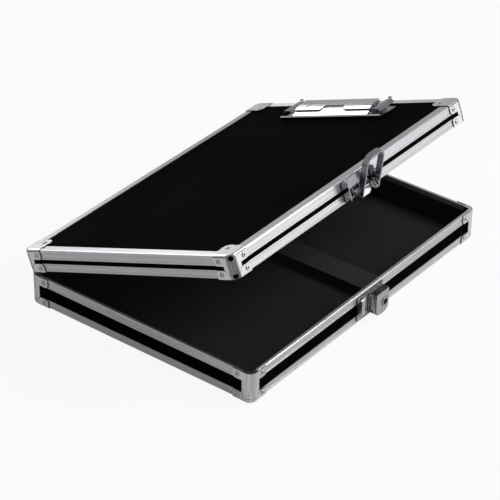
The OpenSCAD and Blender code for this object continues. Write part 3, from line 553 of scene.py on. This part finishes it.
def rivet_head(tree, given):
    """Returns one head, and a selection of the faces of its bore that is kept on the head's copies."""
    blank = add(tree, "GeometryNodeMeshCylinder",
                {"Vertices": HEAD_SIDES, "Side Segments": 1, "Fill Segments": HEAD_RINGS,
                 "Radius": given["Head Radius"], "Depth": calc(tree, "MULTIPLY", given["Sunk"], 2.0)},
                fill_type="TRIANGLE_FAN").outputs
    place = add(tree, "ShaderNodeSeparateXYZ", {0: add(tree, "GeometryNodeInputPosition").outputs[0]})
    flat = add(tree, "ShaderNodeCombineXYZ", {0: place.outputs[0], 1: place.outputs[1]})
    reach = add(tree, "ShaderNodeVectorMath", {0: flat.outputs[0]}, operation="LENGTH").outputs["Value"]
    share = calc(tree, "DIVIDE", reach, given["Head Radius"])
    span = calc(tree, "ADD", given["Head Height"], given["Hole Depth"])
    low = calc(tree, "ADD", given["Sunk"], given["Hole Depth"])
    height = calc(tree, "SUBTRACT", calc(tree, "MULTIPLY", domed(tree, share), span), low)
    shaped = add(tree, "GeometryNodeSetPosition",
                 {"Geometry": blank["Mesh"], "Selection": blank["Top"],
                  "Offset": add(tree, "ShaderNodeCombineXYZ", {2: height}).outputs[0]})
    bore = add(tree, "FunctionNodeBooleanMath", {0: calc(tree, "LESS_THAN", share, BORE_SHARE),
                                                 1: blank["Top"]}, operation="AND")
    kept = add(tree, "GeometryNodeCaptureAttribute", domain="FACE")
    kept.capture_items.new("BOOLEAN", "bore")
    tree.links.new(shaped.outputs[0], kept.inputs[0])
    tree.links.new(bore.outputs[0], kept.inputs[1])
    return kept.outputs[0], kept.outputs[1]

# %% [markdown]
# The places are plain points that each carry the direction their rivet faces. Nobody lines rivets up or
# hits them equally hard, so every head gets its own turn and a slightly different height, from a fixed
# seed. The copies are made real before they get their materials, so the result is one plain mesh.

# %% Rivet tree
def rivet_turns(tree, given):
    """Each rivet's direction, with a turn of its own about it."""
    facing = add(tree, "GeometryNodeInputNamedAttribute", {"Name": "facing"}, data_type="FLOAT_VECTOR")
    aligned = add(tree, "FunctionNodeAlignRotationToVector", {"Vector": facing.outputs[0]}, axis="Z")
    twist = add(tree, "FunctionNodeRandomValue", {2: 0.0, 3: math.tau, "Seed": given["Seed"]})
    about_z = add(tree, "ShaderNodeCombineXYZ", {2: twist.outputs[1]})
    own_turn = add(tree, "FunctionNodeEulerToRotation", {0: about_z.outputs[0]})
    return add(tree, "FunctionNodeRotateRotation", {0: aligned.outputs[0], 1: own_turn.outputs[0]},
               rotation_space="LOCAL").outputs[0]


def rivet_sizes(tree, given):
    """Each rivet's scale, which only lowers its head a little."""
    least = calc(tree, "SUBTRACT", 1.0, given["Height Spread"])
    squat = add(tree, "FunctionNodeRandomValue", {2: least, 3: 1.0, "Seed": given["Seed"]})
    return add(tree, "ShaderNodeCombineXYZ", {0: 1.0, 1: 1.0, 2: squat.outputs[1]}).outputs[0]


def rivet_tree():
    tree = bpy.data.node_groups.new("rivets_on_points", "GeometryNodeTree")
    tree.interface.new_socket(name="Geometry", in_out="OUTPUT", socket_type="NodeSocketGeometry")
    given = rivet_inputs(tree)
    head, bore = rivet_head(tree, given)
    heads = add(tree, "GeometryNodeInstanceOnPoints",
                {"Points": given["Places"], "Instance": head, "Rotation": rivet_turns(tree, given),
                 "Scale": rivet_sizes(tree, given)})
    real = add(tree, "GeometryNodeRealizeInstances", {"Geometry": heads.outputs[0]})
    smooth = add(tree, "GeometryNodeSetShadeSmooth", {"Geometry": real.outputs[0]})
    outer = add(tree, "GeometryNodeSetMaterial", {"Geometry": smooth.outputs[0],
                                                  "Material": given["Finish"]})
    inner = add(tree, "GeometryNodeSetMaterial", {"Geometry": outer.outputs[0], "Selection": bore,
                                                  "Material": given["Bore Shade"]})
    add(tree, "NodeGroupOutput", {0: inner.outputs[0]})
    return tree


RIVETS = rivet_tree()
print("rivet tree with", len(RIVETS.nodes), "nodes")

# %% [markdown]
# A modifier keeps its inputs under the socket's identifier and not its name, so a small helper looks the
# identifier up. Another one bakes the result: it makes a plain mesh of the evaluated object, gives that
# to a new object, and throws the carrier with its modifier away.

# %% Running a tree
def set_input(modifier, name, value):
    for item in modifier.node_group.interface.items_tree:
        if item.item_type == "SOCKET" and item.in_out == "INPUT" and item.name == name:
            modifier[item.identifier] = value
            return
    raise KeyError(name)


def new_piece(name, mesh):
    piece = new_object(name, mesh)
    print(name, "has", len(mesh.polygons), "faces")
    return piece


def baked(name, carrier_mesh, tree, inputs):
    """Runs a tree on a mesh and returns the result as a plain object."""
    carrier = new_object(name + "_carrier", carrier_mesh)
    modifier = carrier.modifiers.new("shape", "NODES")
    modifier.node_group = tree
    for key, value in inputs.items():
        set_input(modifier, key, value)
    ready = carrier.evaluated_get(bpy.context.evaluated_depsgraph_get())
    mesh = bpy.data.meshes.new_from_object(ready)
    carrier.modifiers.remove(modifier)
    bpy.data.objects.remove(carrier)
    return new_piece(name, mesh)


def rivets(name, places, body, *nodes):
    """places is a list of (seat, facing), in metres."""
    mesh = bpy.data.meshes.new(name + "_places")
    mesh.from_pydata([seat for seat, _ in places], [], [])
    facing = mesh.attributes.new("facing", "FLOAT_VECTOR", "POINT")
    for i, (_, way) in enumerate(places):
        facing.data[i].vector = way
    piece = baked(name, mesh, RIVETS, {"Finish": rivet_steel, "Bore Shade": rivet_bore_shade,
                                       "Seed": len(places)})
    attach(piece, body)
    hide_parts(*nodes)
    return piece

# %% [markdown]
# Most places come in families: two rivets on each face of a corner cap, six along each leaf of the hinge,
# and one above another on the plates of the lock and the latch. Each family is a short function, and each
# place is a seat and the direction in which its rivet faces.

# %% Rivet places
RIVET_IN, LEAF_T, LEAF_IN = 14.5, 0.8, 3.5
HINGE_L, HINGE_RIVETS = 2 * extent("hinge_leaf_base", max, "x"), 6
FRONT, BACK, UP = Vector((0, -1, 0)), Vector((0, 1, 0)), Vector((0, 0, 1))
SIGNS = [(sx, sy) for sx in (-1, 1) for sy in (-1, 1)]
print("hinge", HINGE_L, "mm long, with a rivet every", round(HINGE_L / HINGE_RIVETS, 1), "mm")


def corner_places(heights):
    places = []
    for sx, sy in SIGNS:
        for z in heights:
            long_face = point(sx * (HALF_L - RIVET_IN), sy * (HALF_W + CAP_T), z)
            short_face = point(sx * (HALF_L + CAP_T), sy * (HALF_W - RIVET_IN), z)
            places += [(long_face, Vector((0, sy, 0))), (short_face, Vector((sx, 0, 0)))]
    return places


def leaf_places(z):
    pitch = HINGE_L / HINGE_RIVETS
    return [(point(-HINGE_L / 2 + pitch * (i + 0.5), HALF_W + LEAF_T, z), BACK)
            for i in range(HINGE_RIVETS)]


def plate_places(name, thickness, left_in, low_in, high_in):
    """Two places on a plate on the front, that far in from its left, lower and upper ends."""
    x = extent(name, min, "x") + left_in
    heights = extent(name, min, "z") + low_in, extent(name, max, "z") - high_in
    return [(point(x, -HALF_W - thickness, z), FRONT) for z in heights]

# %% [markdown]
# On the base, the rivets of the caps sit in the middle of the rim trim's face, and a little above the
# middle of the lower trim's, clear of the foot. The elastic strap adds two at each end, on its inner side.

# %% Base rivets
EDGE_SHIFT = 0.6
STRAP_X, STRAP_T = middle("elastic_strap", "x"), 1.2
STRAP_W = 2 * (extent("elastic_strap", max, "x") - STRAP_X)

cap_rows = (middle("base_rim_trim_front", "z"), middle("base_edge_trim_front", "z") + EDGE_SHIFT)
base_places = corner_places(cap_rows) + leaf_places(extent("hinge_leaf_base", min, "z") + LEAF_IN)
base_places += plate_places("lock_body", thickness=1.2, left_in=9.625, low_in=5.5, high_in=4.5)
tab_y = extent("elastic_strap", max, "y") - STRAP_T
tab_z = middle("elastic_strap", "z") - STRAP_T / 2
base_places += [(point(STRAP_X + side * STRAP_W / 4, sy * tab_y, tab_z), Vector((0, -sy, 0)))
                for side in (-1, 1) for sy in (-1, 1)]
print("base rivets", len(base_places), "cap rows at", [round(z, 3) for z in cap_rows], "mm")
rivets("rivets_base", base_places, "base", "base_rivets", "strap_rivets")

# %% [markdown]
# On the lid, each cap has one more rivet on top, and two hold the clip's base to the board, on the line of
# its pin. All are placed on the shut lid and then turned open together.

# %% Lid rivets
LOBE_IN, CLIP_PLATE, CLIP_APART = 13.5, 1.0, 48


def turned(places):
    return [(hinge_turn @ seat, hinge_turn.to_3x3() @ way) for seat, way in places]


cap_rows = (middle("lid_rim_trim_front", "z"), middle("lid_edge_trim_front", "z") - EDGE_SHIFT)
lid_places = corner_places(cap_rows) + leaf_places(extent("hinge_leaf_lid", max, "z") - LEAF_IN)
lid_places += [(point(sx * (HALF_L - LOBE_IN), sy * (HALF_W - LOBE_IN), LID_TOP + CAP_T), UP)
               for sx, sy in SIGNS]
lid_places += plate_places("latch_bracket", thickness=1.0, left_in=6.125, low_in=4.2, high_in=4.2)
clip_x, clip_y = middle("clip_pin", "x"), middle("clip_base", "y")
clip_z = extent("lid_board", max, "z") + CLIP_PLATE
lid_places += [(point(clip_x, clip_y + side * CLIP_APART / 2, clip_z), UP) for side in (-1, 1)]
print("lid rivets", len(lid_places), "cap rows at", [round(z, 3) for z in cap_rows], "mm")
rivets("rivets_lid", turned(lid_places), "lid", "lid_rivets", "clip_rivets")

# %% [markdown]
# ## Seams of the lid's caps
# A pressed cap is folded from flat sheet, and its top plate never closes quite against its arms: a narrow
# gap stays along each fold, dark with shade. It is too thin for a groove in the construction, so its shade
# is painted here as a fine dark strip, two for each cap. Each lies in the fold and starts where the corner's own
# curve ends.

# %% Cap seams
SEAM_H, SEAM_DEEP, SEAM_DROP = 0.55, 0.5, 2.1
SEAM_FROM, SEAM_TO = 6.0, 18.8


def strip(bm, low, high):
    """Adds a box between two corners, turned with the open lid."""
    box = bmesh.ops.create_cube(bm, size=1.0)["verts"]
    for vert in box:
        place = [(a + b) / 2 + share * (b - a) for a, b, share in zip(low, high, vert.co)]
        vert.co = hinge_turn @ point(*place)


def closed_piece(name, bm, material):
    """Ends a bmesh: turns its faces outwards and makes it a piece with one material."""
    bmesh.ops.recalc_face_normals(bm, faces=bm.faces)
    mesh = bpy.data.meshes.new(name)
    bm.to_mesh(mesh)
    bm.free()
    mesh.materials.append(material)
    return new_piece(name, mesh)


def cap_fold_shade():
    bm = bmesh.new()
    low, high = LID_TOP + CAP_T - SEAM_DROP, LID_TOP + CAP_T - SEAM_DROP + SEAM_H
    out_x, out_y = HALF_L + CAP_T, HALF_W + CAP_T
    for sx, sy in SIGNS:
        strip(bm, (sx * (HALF_L - SEAM_TO), sy * (out_y - SEAM_DEEP), low),
              (sx * (HALF_L - SEAM_FROM), sy * out_y, high))
        strip(bm, (sx * (out_x - SEAM_DEEP), sy * (HALF_W - SEAM_TO), low),
              (sx * out_x, sy * (HALF_W - SEAM_FROM), high))
    return closed_piece("cap_fold_shade", bm, fold_seam_shade)


seams = cap_fold_shade()
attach(seams, "lid")

# %% [markdown]
# ## Elastic strap
# The strap that holds things in the tray is woven elastic webbing: covered rubber cords run along it,
# and a fine thread crosses over one and under the next. A stretched strap is flat and straight, with a
# short end turned down each wall. It is drawn as one cross-section with rounded cords, swept along that
# path, and a map of its own runs along the band, so the weave turns down the ends with it.

# %% Strap path
SPAN_Y = extent("elastic_strap", max, "y") - STRAP_T / 2
SPAN_Z = extent("elastic_strap", max, "z") - STRAP_T / 2
TAB_Z = extent("elastic_strap", min, "z")
BEND_R, BEND_STEPS, SPAN_STEPS, TAB_STEPS = 1.6, 6, 80, 6


def strap_path():
    """Points (y, z) in mm from the front end of the strap to its middle, with the two bends rounded."""
    half = [(-SPAN_Y, TAB_Z + (SPAN_Z - BEND_R - TAB_Z) * i / TAB_STEPS) for i in range(TAB_STEPS)]
    for i in range(BEND_STEPS + 1):
        turn = math.radians(90) * i / BEND_STEPS
        half.append((-SPAN_Y + BEND_R * (1 - math.cos(turn)), SPAN_Z - BEND_R * (1 - math.sin(turn))))
    first = half[-1][0]
    half += [(first * (1 - i / SPAN_STEPS), SPAN_Z) for i in range(1, SPAN_STEPS)]
    return half + [(0.0, SPAN_Z)] + [(-y, z) for y, z in reversed(half)]


path = [Vector((0, y, z)) for y, z in strap_path()]
print("strap of", round(sum((b - a).length for a, b in zip(path, path[1:])), 1), "mm, end to end")

# %% [markdown]
# The cross-section is what gives the band its ribs. It has fourteen low arches above and fourteen below,
# one for each covered cord. The band is then swept by setting that outline across the path at each of
# its points, and both ends are closed.

# %% Strap section
CORDS, PER_CORD, CORD_RISE, EDGE_THIN = 14, 5, 0.16, 0.12


def strap_section():
    """The closed outline (across, up) of the band in mm: one low arch for each cord, above and below."""
    steps = CORDS * PER_CORD
    top = []
    for i in range(steps + 1):
        arch = abs(math.sin(math.pi * i / PER_CORD)) * CORD_RISE
        edge = EDGE_THIN if i in (0, steps) else 0.0
        top.append(((i / steps - 0.5) * STRAP_W, STRAP_T / 2 - CORD_RISE + arch - edge))
    return top + [(x, -up) for x, up in reversed(top)]


def swept(points, section, centre_x):
    """Sweeps a section along points that lie in the YZ plane, with a map of (across, along) in metres."""
    bm = bmesh.new()
    chart = bm.loops.layers.uv.new("band")
    along, rings, lengths = 0.0, [], []
    for i, here in enumerate(points):
        before, after = points[max(i - 1, 0)], points[min(i + 1, len(points) - 1)]
        up = Vector((1, 0, 0)).cross((after - before).normalized())
        along += (here - before).length
        lengths.append(along)
        rings.append([bm.verts.new((here + Vector((centre_x + x, 0, 0)) + up * rise) * MM)
                      for x, rise in section])
    count = len(section)
    for i in range(len(rings) - 1):
        for j in range(count):
            k = (j + 1) % count
            face = bm.faces.new((rings[i][j], rings[i][k], rings[i + 1][k], rings[i + 1][j]))
            face.smooth = True
            for loop, (p, q) in zip(face.loops, ((i, j), (i, k), (i + 1, k), (i + 1, j))):
                loop[chart].uv = (section[q][0] * MM, lengths[p] * MM)
    bm.faces.new(list(reversed(rings[0])))
    bm.faces.new(rings[-1])
    return bm


band = swept(path, strap_section(), STRAP_X)
print("band of", len(path), "sections,", len(band.faces), "faces")

# %% [markdown]
# The weave itself is too fine to model. Its material works on the band's own map: waves across the cords
# are shifted by half a step from each cord to the next, which is what makes webbing look woven, and the
# same value paints shade into the hollows and drives the bump.

# %% Webbing
THREADS_PER_METRE = 1100
CORDS_PER_METRE = CORDS / (STRAP_W * MM)


def webbing(tree):
    chart = add(tree, "ShaderNodeUVMap", uv_map="band")
    across, along = add(tree, "ShaderNodeSeparateXYZ", {0: chart.outputs[0]}).outputs[:2]
    cord = calc(tree, "FLOOR", calc(tree, "MULTIPLY", across, CORDS_PER_METRE))
    shift = calc(tree, "MULTIPLY", cord, math.pi)
    wave = calc(tree, "SINE", calc(tree, "MULTIPLY_ADD", along, THREADS_PER_METRE * math.pi, shift))
    over = add(tree, "ShaderNodeMapRange", {"Value": wave, "From Min": -1.0}).outputs[0]
    rise = calc(tree, "MULTIPLY_ADD", grain(tree, 3000, detail=2), 0.25, over)
    # The hollows of the weave get painted shade.
    return {"Base Color": blend_colour(tree, over, (0.003, 0.003, 0.004), (0.040, 0.040, 0.041)),
            "Roughness": 0.8, "Specular IOR Level": 0.35, "Sheen Weight": 0.2, "Sheen Roughness": 0.35,
            "Normal": bump(tree, rise, 0.00012)}


strap = closed_piece("strap_webbing", band, finish("webbing", webbing))
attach(strap, "base")
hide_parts("elastic_strap")
